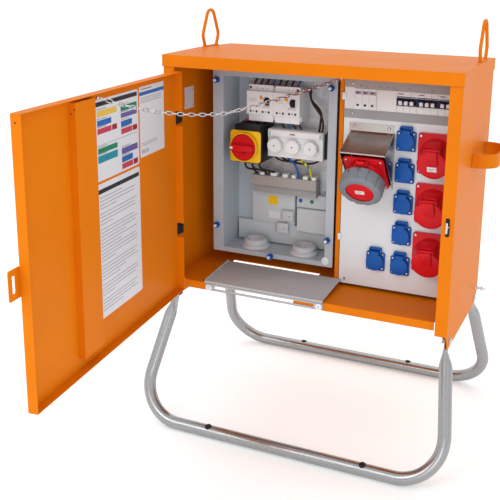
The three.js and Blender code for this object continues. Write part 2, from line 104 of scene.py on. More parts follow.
# ---- finishes ----
def newFinish(name):
    material = bpy.data.materials.new(name)
    material.use_nodes = True
    tree = material.node_tree
    return material, tree, tree.nodes["Principled BSDF"]


def node(tree, kind, **settings):
    made = tree.nodes.new(kind)
    for key, value in settings.items():
        if key in made.inputs:
            made.inputs[key].default_value = value
        else:
            setattr(made, key, value)
    return made


def objectNoise(tree, scale, detail=3.0, stretch=(1, 1, 1)):
    place = node(tree, "ShaderNodeTexCoord")
    mapping = node(tree, "ShaderNodeMapping")
    mapping.inputs["Scale"].default_value = stretch
    noise = node(tree, "ShaderNodeTexNoise", Scale=scale, Detail=detail)
    tree.links.new(place.outputs["Object"], mapping.inputs["Vector"])
    tree.links.new(mapping.outputs["Vector"], noise.inputs["Vector"])
    return noise


def spread(tree, source, low, high):
    reach = node(tree, "ShaderNodeMapRange")
    reach.inputs["From Min"].default_value = 0.3
    reach.inputs["From Max"].default_value = 0.7
    reach.inputs["To Min"].default_value = low
    reach.inputs["To Max"].default_value = high
    tree.links.new(source.outputs["Fac"], reach.inputs["Value"])
    return reach


def tint(tree, source, low, high):
    ramp = node(tree, "ShaderNodeValToRGB")
    ramp.color_ramp.elements[0].position = 0.32
    ramp.color_ramp.elements[0].color = (*low, 1)
    ramp.color_ramp.elements[1].position = 0.68
    ramp.color_ramp.elements[1].color = (*high, 1)
    tree.links.new(source.outputs["Fac"], ramp.inputs["Fac"])
    return ramp


# A coat or a moulded skin: a slow drift of colour and gloss under a fine, shallow texture.
def coatFinish(name, colour, gloss, drift=0.05, grain=900, depth=0.06, patch=9, metal=0.0,
               sheen=0.22):
    material, tree, shader = newFinish(name)
    slow = objectNoise(tree, patch, 4)
    fine = objectNoise(tree, grain, 2)
    colours = tint(tree, slow, [c * (1 - drift) for c in colour], [min(1, c * (1 + drift)) for c in colour])
    tree.links.new(colours.outputs["Color"], shader.inputs["Base Color"])
    rough = spread(tree, slow, gloss - 0.04, gloss + 0.05)
    tree.links.new(rough.outputs["Result"], shader.inputs["Roughness"])
    bump = node(tree, "ShaderNodeBump", Strength=depth, Distance=0.0006)
    tree.links.new(fine.outputs["Fac"], bump.inputs["Height"])
    tree.links.new(bump.outputs["Normal"], shader.inputs["Normal"])
    shader.inputs["Metallic"].default_value = metal
    shader.inputs["Specular IOR Level"].default_value = 0.5 if metal else sheen
    return material


# Ground stainless steel: fine lines along one direction, partly ground grain and partly painted highlight
# streaks in the colour, with slow streaks of gloss.
def groundSteel(name, colour, gloss, along=(1, 30, 30)):
    material, tree, shader = newFinish(name)
    grainAndHighlights = objectNoise(tree, 60, 6, along)
    cloud = objectNoise(tree, 14, 4)
    # painted highlight streaks: the stretched lines lighten and darken the base colour along the steel, over
    # the ground grain
    colours = tint(tree, grainAndHighlights, [c * 0.80 for c in colour], [min(1, c * 1.16) for c in colour])
    tree.links.new(colours.outputs["Color"], shader.inputs["Base Color"])
    rough = spread(tree, cloud, gloss - 0.06, gloss + 0.08)
    tree.links.new(rough.outputs["Result"], shader.inputs["Roughness"])
    bump = node(tree, "ShaderNodeBump", Strength=0.10, Distance=0.0004)
    tree.links.new(grainAndHighlights.outputs["Fac"], bump.inputs["Height"])
    tree.links.new(bump.outputs["Normal"], shader.inputs["Normal"])
    shader.inputs["Metallic"].default_value = 1.0
    return material


# Earth wire: green and yellow stripes wound along the core.
def earthSleeve(name):
    material, tree, shader = newFinish(name)
    place = node(tree, "ShaderNodeTexCoord")
    wave = node(tree, "ShaderNodeTexWave", Scale=22.0, Distortion=0.6)
    ramp = node(tree, "ShaderNodeValToRGB")
    ramp.color_ramp.interpolation = "CONSTANT"
    ramp.color_ramp.elements[0].color = (0.02, 0.22, 0.03, 1)
    ramp.color_ramp.elements[1].position = 0.45
    ramp.color_ramp.elements[1].color = (0.75, 0.60, 0.02, 1)
    tree.links.new(place.outputs["Object"], wave.inputs["Vector"])
    tree.links.new(wave.outputs["Fac"], ramp.inputs["Fac"])
    tree.links.new(ramp.outputs["Color"], shader.inputs["Base Color"])
    shader.inputs["Roughness"].default_value = 0.4
    return material


def printInk(name, colour):
    return coatFinish(name, colour, 0.32, drift=0.04)


powderOrange = coatFinish("powder orange", (0.72, 0.185, 0.003), 0.42, drift=0.035, grain=700, depth=0.10,
                          sheen=0.07)
enclosureGrey = coatFinish("enclosure grey", (0.44, 0.49, 0.54), 0.42, grain=1500, depth=0.07)
lidGrey = coatFinish("control grey", (0.55, 0.60, 0.63), 0.34, drift=0.04, grain=1500, depth=0.05)
devicesWhite = coatFinish("device white", (0.77, 0.79, 0.80), 0.40, drift=0.04, grain=2200, depth=0.05)
panelPaint = coatFinish("panel paint", (0.71, 0.75, 0.78), 0.48, drift=0.03, grain=800, depth=0.08)
stripGrey = coatFinish("strip grey", (0.34, 0.345, 0.35), 0.45, grain=1500, depth=0.05)
stripWarm = coatFinish("strip warm", (0.37, 0.345, 0.33), 0.5, grain=1500, depth=0.05)
flapPaint = coatFinish("flap paint", (0.46, 0.475, 0.485), 0.40, drift=0.04)
outletBlue = coatFinish("outlet blue", (0.003, 0.085, 0.38), 0.34, drift=0.06, grain=1800, depth=0.05)
outletRed = coatFinish("outlet red", (0.62, 0.007, 0.014), 0.34, drift=0.06, grain=1800, depth=0.05)
switchYellow = coatFinish("switch yellow", (0.86, 0.52, 0.006), 0.36, drift=0.03, grain=1800, depth=0.04)
buttonAmber = coatFinish("button amber", (0.85, 0.30, 0.01), 0.35, drift=0.03, grain=1800, depth=0.03)
# black moulded parts, also used for painted hole shade: black discs set where holes show only shade
mouldBlackAndHoleShade = coatFinish("mould black and hole shade", (0.012, 0.012, 0.014), 0.42, drift=0.15, grain=1600)
bandBlue = coatFinish("band blue", (0.012, 0.016, 0.075), 0.38, drift=0.10, grain=1600, depth=0.05)
ringGrey = coatFinish("ring grey", (0.20, 0.225, 0.26), 0.40, drift=0.06, grain=1500, depth=0.07)
grommetGrey = coatFinish("grommet grey", (0.54, 0.56, 0.59), 0.55, depth=0.10)
paper = coatFinish("laminated paper", (0.70, 0.71, 0.75), 0.32, drift=0.012, grain=500, depth=0.02)
ink = coatFinish("black ink", (0.025, 0.025, 0.03), 0.30, drift=0.08)
inkGrey = coatFinish("grey ink", (0.22, 0.22, 0.24), 0.35, drift=0.08)
inkYellow = printInk("yellow ink", (0.75, 0.50, 0.08))
inkBlue = printInk("blue ink", (0.02, 0.13, 0.42))
inkRed = printInk("red ink", (0.50, 0.05, 0.09))
inkDarkRed = printInk("dark red ink", (0.33, 0.02, 0.04))
inkGreen = printInk("green ink", (0.01, 0.22, 0.11))
inkPurple = printInk("purple ink", (0.13, 0.10, 0.32))
inkTeal = printInk("teal ink", (0.02, 0.25, 0.33))
wireBlack = coatFinish("wire black", (0.018, 0.016, 0.016), 0.40, drift=0.15)
wireBrown = coatFinish("wire brown", (0.055, 0.028, 0.02), 0.40, drift=0.12)
wireBlue = coatFinish("wire blue", (0.02, 0.12, 0.42), 0.38, drift=0.08)
ferruleRed = coatFinish("ferrule red", (0.45, 0.02, 0.03), 0.40, drift=0.08)
brass = coatFinish("brass", (0.62, 0.42, 0.16), 0.28, drift=0.08, grain=600, depth=0.08,
                   metal=1.0)
zinc = coatFinish("zinc plated", (0.58, 0.58, 0.60), 0.22, drift=0.10, grain=300, depth=0.10,
                  metal=1.0, patch=60)
backSteel = coatFinish("galvanised back", (0.60, 0.61, 0.63), 0.45, drift=0.16, grain=160, depth=0.08,
                       metal=0.25, patch=55)
# painted dark reflection: the stand steel's colour is kept dark to stand in for dark surroundings mirrored in
# the tubes
standSteel = groundSteel("stand steel", (0.36, 0.365, 0.37), 0.24, along=(1, 25, 25))
hoodSteel = groundSteel("hood steel", (0.46, 0.43, 0.41), 0.24, along=(30, 1, 30))
earthWire = earthSleeve("earth sleeve")
floorPaint = coatFinish("studio floor", (0.90, 0.90, 0.90), 0.6, drift=0.004, grain=40, depth=0.01, patch=1.5)
floorGlow = floorPaint.node_tree.nodes["Principled BSDF"]  # keeps the floor pale out to the horizon
floorGlow.inputs["Emission Color"].default_value = (0.94, 1.0, 1.0, 1)
floorGlow.inputs["Emission Strength"].default_value = 0.24


# ---- shaping tools ----
def turn(axis, degrees):
    return Matrix.Rotation(math.radians(degrees), 4, axis)


def move(x, y, z):
    return Matrix.Translation((x, y, z))


def facingFront(x, y, z):  # a turned shape's axis points out of the front
    return move(x, y, z) @ turn("X", 90)


def paint(verts, finish):
    for face in {face for vert in verts for face in vert.link_faces}:
        face.material_index = finish


def cube(bm, x, y, z):
    size = Matrix.Diagonal((x[1] - x[0], y[1] - y[0], z[1] - z[0], 1))
    middle = move((x[0] + x[1]) / 2, (y[0] + y[1]) / 2, (z[0] + z[1]) / 2)
    return bmesh.ops.create_cube(bm, size=1, matrix=middle @ size)["verts"]


def bevel(bm, verts, edges, width, steps):
    cut = bmesh.ops.bevel(bm, geom=edges, offset=width, offset_type="OFFSET", segments=steps, profile=0.5,
                          affect="EDGES", clamp_overlap=True, material=-1)
    return list({v for f in cut["faces"] for v in f.verts} | {v for v in verts if v.is_valid})


def block(bm, x, y, z, edge=0.0, finish=0, steps=2, place=None):
    verts = cube(bm, x, y, z)
    if edge:
        verts = bevel(bm, verts, list({e for v in verts for e in v.link_edges}), edge, steps)
    if place:
        bmesh.ops.transform(bm, matrix=place, verts=verts)
    paint(verts, finish)
    return verts


# A plate with rounded corners about one axis and a fine break along its other edges.
def plate(bm, x, y, z, corner, axis="y", edge=0.5, finish=0, steps=5, place=None):
    verts = cube(bm, x, y, z)
    way = "xyz".index(axis)
    edges = [e for e in {e for v in verts for e in v.link_edges}
             if abs((e.verts[0].co - e.verts[1].co)[way]) > 1e-6]
    verts = bevel(bm, verts, edges, corner, steps)
    if edge:
        edges = [e for e in {e for v in verts for e in v.link_edges}
                 if abs((e.verts[0].co - e.verts[1].co)[way]) < 1e-6
                 and len(e.link_faces) == 2 and e.calc_face_angle(0) > 0.6]
        verts = bevel(bm, verts, edges, edge, 2)
    if place:
        bmesh.ops.transform(bm, matrix=place, verts=verts)
    paint(verts, finish)
    return verts


# A profile of (radius, height) pairs spun about its own axis. Every groove-th meridian is drawn in.
def turned(bm, profile, place, steps=32, finish=0, groove=0, draw=0.0, above=0.0):
    verts = [bm.verts.new((radius, 0, height)) for radius, height in profile]
    edges = [bm.edges.new(pair) for pair in zip(verts, verts[1:])]
    old = set(bm.verts) - set(verts)
    bmesh.ops.spin(bm, geom=verts + edges, cent=(0, 0, 0), axis=(0, 0, 1), dvec=(0, 0, 0),
                   angle=math.tau, steps=steps, use_merge=True, use_duplicate=False)
    fresh = [v for v in bm.verts if v not in old]
    bmesh.ops.remove_doubles(bm, verts=fresh, dist=0.001)
    fresh = [v for v in bm.verts if v not in old]
    if groove:
        for v in fresh:
            radius = math.hypot(v.co.x, v.co.y)
            index = round(math.atan2(v.co.y, v.co.x) / math.tau * steps) % groove
            if radius > above and index < groove / 4:
                v.co.x *= 1 - draw / radius
                v.co.y *= 1 - draw / radius
    bmesh.ops.transform(bm, matrix=place, verts=fresh)
    paint(fresh, finish)
    return fresh


def disc(bm, height, top, foot, place, steps=32, finish=0):
    turned(bm, [(0, height), (top, height), (foot, 0), (0, 0)], place, steps, finish)


def pin(bm, radius, length, chamfer, place, steps):
    small, step = radius - chamfer[0], chamfer[1]
    turned(bm, [(0, 0), (small, 0), (radius, step), (radius, length - step), (small, length), (0, length)],
           place, steps)


def fourScrews(bm, x, y, z, wide, high, radius, place=Matrix()):
    for a in (-1, 1):
        for b in (-1, 1):
            screwHead(bm, x + a * wide, y, z + b * high, radius, finish=1, place=place)


def rounded(corners, radius, steps=8):  # a path whose inner corners are turned into arcs
    points = [Vector(c) for c in corners]
    path = [points[0]]
    for before, here, after in zip(points, points[1:], points[2:]):
        a, b = (before - here).normalized(), (after - here).normalized()
        half = a.angle(b) / 2
        centre = here + (a + b).normalized() * radius / math.sin(half)
        start = here + a * radius / math.tan(half) - centre
        axis = a.cross(b).normalized()
        sweep = math.pi - 2 * half
        path += [centre + Matrix.Rotation(-sweep * i / steps, 3, axis) @ start for i in range(steps + 1)]
    return path + [points[-1]]


def tube(bm, points, radius, sides=3, closed=False, finish=0, soft=False, place=None):
    curve = bpy.data.curves.new("run", "CURVE")
    curve.dimensions = "3D"
    curve.bevel_depth = radius
    curve.bevel_resolution = sides
    curve.use_fill_caps = True
    line = curve.splines.new("NURBS" if soft else "POLY")
    line.points.add(len(points) - 1)
    for point, co in zip(line.points, points):
        point.co = (*co, 1)
    line.use_cyclic_u = closed
    if soft:
        line.order_u = 4
        line.use_endpoint_u = True
        line.resolution_u = 6
    carrier = bpy.data.objects.new("run", curve)
    bpy.context.collection.objects.link(carrier)
    mesh = bpy.data.meshes.new_from_object(carrier.evaluated_get(bpy.context.evaluated_depsgraph_get()))
    old = set(bm.verts)
    bm.from_mesh(mesh)
    fresh = [v for v in bm.verts if v not in old]
    bmesh.ops.remove_doubles(bm, verts=fresh, dist=0.0005)
    fresh = [v for v in bm.verts if v not in old]
    if place:
        bmesh.ops.transform(bm, matrix=place, verts=fresh)
    paint(fresh, finish)
    bpy.data.objects.remove(carrier)
    bpy.data.curves.remove(curve)
    bpy.data.meshes.remove(mesh)
    return fresh


def screwHead(bm, x, y, z, radius, finish=0, place=Matrix()):  # pan head with a cross recess
    seat = place @ facingFront(x, y, z)
    turned(bm, [(0, radius * 0.30), (radius * 0.22, radius * 0.55), (radius * 0.7, radius * 0.50),
                (radius * 0.95, radius * 0.25), (radius, 0), (0, 0)], seat, steps=14, finish=finish)


def hexHead(bm, seat, across, height, finish=0):
    made = bmesh.ops.create_cone(bm, cap_ends=True, segments=6, radius1=across / 2, radius2=across / 2,
                                 depth=height, matrix=seat @ move(0, 0, height / 2))["verts"]
    bevel(bm, made, list({e for v in made for e in v.link_edges}), 0.5, 2)
    paint([v for v in made if v.is_valid], finish)


def deliver(bm, name, body, finishes, stands=(), place=Matrix(), unit=toRow, smooth=34, edge=0.0):
    bmesh.ops.transform(bm, matrix=unit @ place, verts=bm.verts)
    bmesh.ops.recalc_face_normals(bm, faces=bm.faces)
    mesh = bpy.data.meshes.new(name)
    bm.to_mesh(mesh)
    bm.free()
    for finish in finishes:
        mesh.materials.append(finish)
    mesh.polygons.foreach_set("use_smooth", [True] * len(mesh.polygons))
    mesh.set_sharp_from_angle(angle=math.radians(smooth))
    piece = bpy.data.objects.new(name, mesh)
    bpy.context.collection.objects.link(piece)
    if edge:
        soften = piece.modifiers.new("edges", "BEVEL")
        soften.width = edge * 0.001
        soften.segments = 2
        soften.limit_method = "ANGLE"
        soften.angle_limit = math.radians(38)
        soften.harden_normals = True
    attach(piece, body)
    if stands:
        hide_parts(*stands)
    return piece


# A CAD node taken over whole: its flat faces are joined up and its edges get a small radius.
def finer(cadNode, body, finish, edge, smooth=34):
    bm = bmesh.new()
    bm.from_mesh(nodes[cadNode].data)
    bmesh.ops.remove_doubles(bm, verts=bm.verts, dist=2e-6)
    bmesh.ops.dissolve_limit(bm, angle_limit=math.radians(0.5), verts=bm.verts, edges=bm.edges)
    return deliver(bm, cadNode + "_finished", body, [finish], (cadNode,), unit=Matrix(),
                   smooth=smooth, edge=edge)


# ---- steelwork ----
steelEdges = {"roof_hood": 0.6, "side_plate_left": 0.9, "side_plate_right": 0.9, "back_plate": 0.8,
              "floor_plate": 0.8, "divider": 0.8}
grip = {"y": (-30, 146), "z": 760, "bend": 44, "wide": 36, "thick": 5}
eye = {"bar": 4.5, "x": 387, "y": 55, "foot": 996.5, "corner": 20,
       "drop": ((-32, 0), (-47, 36), (-14.5, 104), (14.5, 104), (47, 36), (32, 0))}


def buildSteelwork():
    for name, edge in steelEdges.items():
        finer(name, "cabinet", powderOrange, edge)
    for side, label in ((-1, "left"), (1, "right")):
        bm = bmesh.new()
        path = rounded([(side * 393.3, grip["y"][0], grip["z"]), (side * 451.3, grip["y"][0], grip["z"]),
                        (side * 451.3, grip["y"][1], grip["z"]), (side * 393.3, grip["y"][1], grip["z"])],
                       grip["bend"], 14)
        ring = []
        for before, here, after in zip([path[0]] + path, path, path[1:] + [path[-1]]):
            across = (after - before).cross(Vector((0, 0, 1))).normalized() * grip["thick"] / 2
            up = Vector((0, 0, grip["wide"] / 2))
            ring.append([bm.verts.new(here + a * across + b * up)
                         for a, b in ((1, 1), (1, -1), (-1, -1), (-1, 1))])
        for one, two in zip(ring, ring[1:]):
            for i in range(4):
                bm.faces.new((one[i], one[i - 1], two[i - 1], two[i]))
        bm.faces.new(ring[0])
        bm.faces.new(ring[-1][::-1])
        deliver(bm, f"handle_{label}_strap", "cabinet", [powderOrange], (f"handle_{label}",),
                smooth=40, edge=1.4)
    for side, label in ((-1, "left"), (1, "right")):
        bm = bmesh.new()
        loop = rounded([(side * eye["x"], eye["y"] + a, eye["foot"] + h) for a, h in eye["drop"]],
                       eye["corner"], 9)
        tube(bm, loop, eye["bar"], sides=4)
        block(bm, (side * eye["x"] - 6, side * eye["x"] + 6), (eye["y"] - 40, eye["y"] + 40),
              (eye["foot"] - 0.5, eye["foot"] + 6), edge=1.6, steps=3)
        for end in (-32, 32):  # weld beads round the feet of the bar
            turned(bm, [(0, 7), (5, 7.4), (7, 5.5), (5.5, 3), (0, 3)],
                   move(side * eye["x"], eye["y"] + end, eye["foot"]), steps=14)
        deliver(bm, f"lifting_eye_{label}_bar", "cabinet", [powderOrange],
                (f"lifting_eye_{label}",))
    print("steelwork done")


# ---- stand ----
stand = {"radius": 16.85, "bend": 110, "foot": (431, 301, 5), "bolt": (384, 155, 325),
         "flat": 0.74, "middle": 385.6, "caps": {-1: (-208, 226), 1: (-175, 178)}}


def buildStand():
    for end, label in ((-1, "front"), (1, "rear")):
        top = Vector((stand["bolt"][0], end * stand["bolt"][1], stand["bolt"][2]))
        foot = Vector((stand["foot"][0], end * stand["foot"][1], stand["foot"][2]))
        along = (foot - top).normalized()
        start = top - along * 17
        mirror = Matrix.Diagonal((-1, 1, 1))
        across = Vector((0, along.z, -along.y)).normalized()
        bm = bmesh.new()
        legs = [start + along * 12 * i for i in range(10)]
        path = [mirror @ p for p in legs] + rounded([mirror @ legs[-1], mirror @ foot, foot, legs[-1]],
                                                    stand["bend"], 18)[1:-1] + legs[::-1]
        tube(bm, path, stand["radius"], sides=8)
        for v in bm.verts:  # the ends are pressed flat where they are bolted inside the side plates
            side = 1 if v.co.x > 0 else -1
            hub = Vector((side * top.x, top.y, top.z))
            reach = (v.co - hub).dot(Vector((side * along.x, along.y, along.z)))
            press = max(0.0, min(1.0, (66 - reach) / 46))
            press = press * press * (3 - 2 * press)
            if press > 0:
                middle = side * stand["middle"]
                v.co.x = middle + (v.co.x - middle) * (1 - stand["flat"] * press)
                sideways = (v.co - hub).dot(across)
                v.co += across * sideways * 0.12 * press
                if reach < -4:
                    v.co += across * sideways * (-0.3 * (-4 - reach) / 13)
        for x in (-1, 1):
            seat = move(x * 393.2, top.y, top.z) @ turn("Y", 90 * x)
            turned(bm, [(0, 1.3), (8.4, 1.3), (8.8, 0.6), (8.4, 0), (0, 0)], seat, steps=24, finish=1)
            turned(bm, [(0, 5.8), (3.5, 5.4), (6.0, 4.0), (6.6, 1.6), (6.6, 0), (0, 0)], seat,
                   steps=20, finish=1)
            hexHead(bm, move(x * 381, top.y, top.z) @ turn("Y", -90 * x), 16, 7, finish=1)
        for x in stand["caps"][end]:  # push-in caps in the tube's holes
            turned(bm, [(0, 3.4), (6.4, 3.1), (9.0, 1.4), (9.6, -2.6), (0, -2.6)],
                   move(x, foot.y, foot.z) @ turn("X", end * -14) @ move(0, 0, stand["radius"] - 0.6),
                   steps=20, finish=2)
        deliver(bm, f"stand_{label}_tube", "cabinet", [standSteel, zinc, mouldBlackAndHoleShade],
                (f"stand_{label}",), smooth=50)
    print("stand done")


# ---- door ----
chart = {"x": (-143, 64), "z": (754, 936)}
textSheet = {"x": (-143, 63), "z": (431, 748)}
blueSheet = {"x": (-286, -151), "z": (766, 938)}


def sheetOn(bm, area, corner=6):
    plate(bm, area["x"], (-193.9, -193.3), area["z"], corner, "y", 0, 0, steps=4)


def mark(bm, area, left, right, top, bottom, finish):  # shares of the sheet, from its free-edge corner
    width, height = area["x"][1] - area["x"][0], area["z"][1] - area["z"][0]
    block(bm, (area["x"][1] - right * width, area["x"][1] - left * width), (-193.35, -193.1),
          (area["z"][1] - bottom * height, area["z"][1] - top * height), finish=finish)


def buildDoor():
    finer("door", "door", powderOrange, 0.8)
    for name in ("door_hinge_lower", "door_hinge_upper"):
        finer(name, "cabinet", mouldBlackAndHoleShade, 0.7)
    bm = bmesh.new()
    sheetOn(bm, chart)
    inks = [paper, ink, inkYellow, inkBlue, inkRed, inkDarkRed, inkGreen, inkPurple, inkTeal, inkGrey]
    mark(bm, chart, 0.025, 0.975, 0.03, 0.085, 1)
    for left, right, rows in ((0.057, 0.486, ((0.137, 0.213, 2), (0.255, 0.325, 3), (0.354, 0.422, 4),
                                               (0.595, 0.66, 6), (0.686, 0.777, 8))),
                              (0.58, 0.965, ((0.156, 0.225, 6), (0.252, 0.313, 7), (0.353, 0.426, 3),
                                             (0.45, 0.52, 4), (0.70, 0.78, 7), (0.81, 0.885, 3),
                                             (0.90, 0.972, 4)))):
        for top, bottom, colour in rows:
            reach = right - (0.125 if colour in (3, 4) else 0)
            mark(bm, chart, left, reach, top, bottom, colour)
            if colour == 4:
                mark(bm, chart, reach + 0.015, right, top, bottom, 5)
            mark(bm, chart, left, left + 0.2, top - 0.022, top - 0.014, 9)
    mark(bm, chart, 0.04, 0.96, 0.557, 0.562, 9)
    deliver(bm, "door_sheet_chart", "door", inks, place=doorSwing)

    bm = bmesh.new()
    sheetOn(bm, textSheet)
    mark(bm, textSheet, 0.02, 0.98, 0.04, 0.072, 1)
    row = 0.10
    lengths = (0.55, 0.9, 0.86, 0.4, 0.93, 0.88, 0.9, 0.3, 0.84, 0.93, 0.9, 0.62, 0.91, 0.5, 0.88, 0.93, 0.9,
               0.35, 0.9, 0.85, 0.92, 0.6, 0.45, 0.9, 0.93, 0.87, 0.3, 0.9, 0.84, 0.92, 0.5)
    for reach in lengths:
        mark(bm, textSheet, 0.05, 0.05 + reach * 0.92, row, row + 0.0045, 2)
        row += 0.026 + (0.012 if reach < 0.5 else 0)
    deliver(bm, "door_sheet_text", "door", [paper, ink, inkGrey], place=doorSwing)

    bm = bmesh.new()
    sheetOn(bm, blueSheet, 2)
    mark(bm, blueSheet, 0.0, 1.0, 0.075, 0.125, 1)
    mark(bm, blueSheet, 0.06, 0.5, 0.03, 0.045, 2)
    for top in (0.16, 0.19, 0.22, 0.80, 0.83):
        mark(bm, blueSheet, 0.04, 0.9 if top < 0.5 else 0.7, top, top + 0.007, 2)
    mark(bm, blueSheet, 0.06, 0.32, 0.90, 0.945, 2)
    mark(bm, blueSheet, 0.075, 0.305, 0.907, 0.938, 0)
    deliver(bm, "door_sheet_notice", "door", [paper, inkBlue, inkGrey], place=doorSwing)

    bm = bmesh.new()
    # painted shade: black discs and a black block stand in for the shade inside small openings in the door
    for z in (916, 925):
        disc(bm, 0.25, 1.6, 1.8, move(165.2, -188 + (z - 916), z + 8)
               @ turn("Y", 90), steps=12)
    disc(bm, 0.2, 1.7, 1.9, move(359.1, -186, 938) @ turn("Y", 90), steps=12)
    block(bm, (-357, -341), (-192, -178), (342, 351), edge=1.5)
    deliver(bm, "door_small_hole_shades", "door", [mouldBlackAndHoleShade], place=doorSwing)
    print("door done")


# ---- door chain ----
chain = {"z": 945, "sag": 60, "wall": (48, -50), "behind": 19, "wire": 1.5, "length": 19.5, "width": 10.0,
         "pitch": 14.6, "aside": 3.6, "droop": {"door": 34, "cabinet": 6}}


def linkRun(bm, start, end, dip):
    straight = (chain["length"] - chain["width"]) / 2
    r = chain["width"] / 2 - chain["wire"]
    ring = [Vector((straight + r * math.cos(a), r * math.sin(a), 0)) for a in
            (-1.57, -0.94, -0.31, 0.31, 0.94, 1.57)]
    ring += [Vector((-p.x, -p.y, 0)) for p in ring]
    bend = start.lerp(end, 0.5) + Vector((0, 0, -dip))
    count = max(2, round((end - start).length / chain["pitch"]))
    for i in range(count):
        t = (i + 0.5) / count
        here = start.lerp(bend, t).lerp(bend.lerp(end, t), t)
        ahead = (bend - start).lerp(end - bend, t).normalized()
        turnTo = ahead.to_track_quat("X", "Z").to_matrix().to_4x4()
        lie = turn("X", 78 if i % 2 else -12)
        tube(bm, ring, chain["wire"], sides=1, closed=True, place=Matrix.Translation(here) @ turnTo @ lie)


def buildChain():
    hinge = doorHinge.xy
    wall = Vector((*chain["wall"], chain["z"]))
    reach = (wall.xy - hinge).length
    bearing = doorOpen + math.atan2(chain["behind"], reach)
    leaf = Vector((hinge.x + reach * math.cos(bearing), hinge.y + reach * math.sin(bearing), chain["z"]))
    low = leaf.lerp(wall, 0.5) - Vector((0, 0, chain["sag"]))
    for label, start in (("door", leaf), ("cabinet", wall)):
        bm = bmesh.new()
        way = (low - start).normalized()
        aside = Vector((way.y, -way.x, 0)).normalized() * chain["aside"]
        linkRun(bm, start + way * 5, low - way * 1 + aside, chain["droop"][label])
        deliver(bm, f"chain_links_{label}", f"chain_arm_{label}", [zinc],
                (f"chain_{label}_half",), smooth=60)
        bm = bmesh.new()
        turned(bm, [(0, 3.4), (2.2, 3.2), (4.0, 1.8), (4.0, -1.8), (2.2, -3.2), (0, -3.4)],
               Matrix.Translation(start), steps=16)
        tube(bm, rounded([start + Vector((0, 0, -1)), start + Vector((2.5, 0, -3.5)),
                          start + Vector((0, 0, -3.9)), start + Vector((-2.5, 0, -2))], 0.6, 3), 0.9, sides=2)
        deliver(bm, f"chain_eye_{label}", f"chain_swivel_{label}", [zinc],
                (f"chain_hook_{label}",), smooth=60)
    print("chain done")


# ---- supply enclosure ----
knob = {"radius": 8.2, "length": 17, "pin": 4.2,
        "places": ((-315, 918), (21, 918), (-315, 502), (21, 502), (-147, 431))}
grommet = {"places": ((-215, 5), (-65, 5)),
           "profile": ((24, 431), (24, 459), (27, 462), (32, 460.5), (34, 456), (33, 448), (37.5, 446.5),
                       (40.5, 443), (40.5, 437.3), (29.6, 437.3), (29.6, 431), (24, 431))}


def buildSupplyBox():
    finer("supply_box", "cabinet", enclosureGrey, 1.2)
    finer("control_unit", "cabinet", lidGrey, 2.2)
    bm = bmesh.new()
    for x, z in knob["places"]:
        seat = facingFront(x, -40, z)
        r, n = knob["radius"], knob["length"]
        turned(bm, [(0, 0), (r * 0.7, 0), (r * 0.72, 2), (r, 3), (r, n - 2), (r - 1.4, n), (0, n)], seat,
               steps=28, groove=2, draw=0.9, above=r * 0.9)
        turned(bm, [(0, n - 1), (knob["pin"], n - 1), (knob["pin"], n + 4), (knob["pin"] - 1, n + 5),
                    (0, n + 5)], seat, steps=18, finish=1)
    turned(bm, [(0, 2.4), (9, 2.4), (10.6, 1.6), (11, 0), (0, 0)], facingFront(15, -40, 440),
           steps=28, finish=1)
    deliver(bm, "cover_thumb_screws", "cabinet", [outletBlue, devicesWhite])

    for (x, y), label in zip(grommet["places"], ("left", "right")):
        bm = bmesh.new()
        turned(bm, list(grommet["profile"]), move(x, y, 0), steps=48)
        deliver(bm, f"cable_grommet_{label}", "cabinet", [grommetGrey], smooth=50)

    bm = bmesh.new()
    block(bm, (-264, -12), (57.5, 61.4), (596, 924), edge=0.8)
    for x in (-252, -24):
        for z in (608, 912):
            screwHead(bm, x, 57.6, z, 4.2, finish=1)
    block(bm, (-292, -14), (48, 61), (440, 500), edge=2, finish=2)
    block(bm, (-246, -112), (44, 61), (500, 600), edge=2, finish=2)
    deliver(bm, "mounting_plate", "cabinet", [backSteel, zinc, lidGrey])

    bm = bmesh.new()  # terminal channel with its row of blocks
    block(bm, (-234, -36), (10, 40), (619, 648), edge=1.2)
    block(bm, (-232, -40), (22, 60), (596, 619), edge=1.0, finish=2)
    for x0, x1 in ((-210, -196), (-176, -158), (-140, -124), (-112, -100), (-78, -64), (-52, -40)):
        block(bm, (x0, x1), (14, 36), (646, 657), edge=0.8, finish=1)
    deliver(bm, "terminal_channel", "cabinet", [stripWarm, devicesWhite, stripGrey])

    bm = bmesh.new()  # plain stickers and two small brackets low in the box
    block(bm, (-104, -6), (38, 61), (560, 600), edge=1.4, finish=4)
    plate(bm, (-194, -166), (43.4, 43.9), (556, 582), 5, "y", 0, 1, steps=4)
    plate(bm, (-193, -157), (43.4, 43.9), (516, 536), 2, "y", 0, 0, steps=3)
    for x, colour in ((-92, 2), (-58, 3)):
        disc(bm, 0.5, 5.8, 6, facingFront(x, 38, 580),
               steps=20, finish=colour)
    for x, z in ((-130, 530), (-146, 492)):
        block(bm, (x - 18, x + 18), (34, 36), (z - 15, z + 15), edge=0.8, finish=4)
        block(bm, (x - 18, x - 16), (34, 50), (z - 15, z + 15), edge=0.8, finish=4)
        screwHead(bm, x + 6, 34, z - 2, 2.6, finish=5)
    deliver(bm, "supply_stickers", "cabinet", [paper, switchYellow, inkBlue, inkGreen, lidGrey, zinc])
    print("supply enclosure done")


# ---- devices in the supply enclosure ----
rcd = {"left": (-238, -177, -194.5), "right": (-158.8, -100.4, -119.8)}  # edge, rocker and button


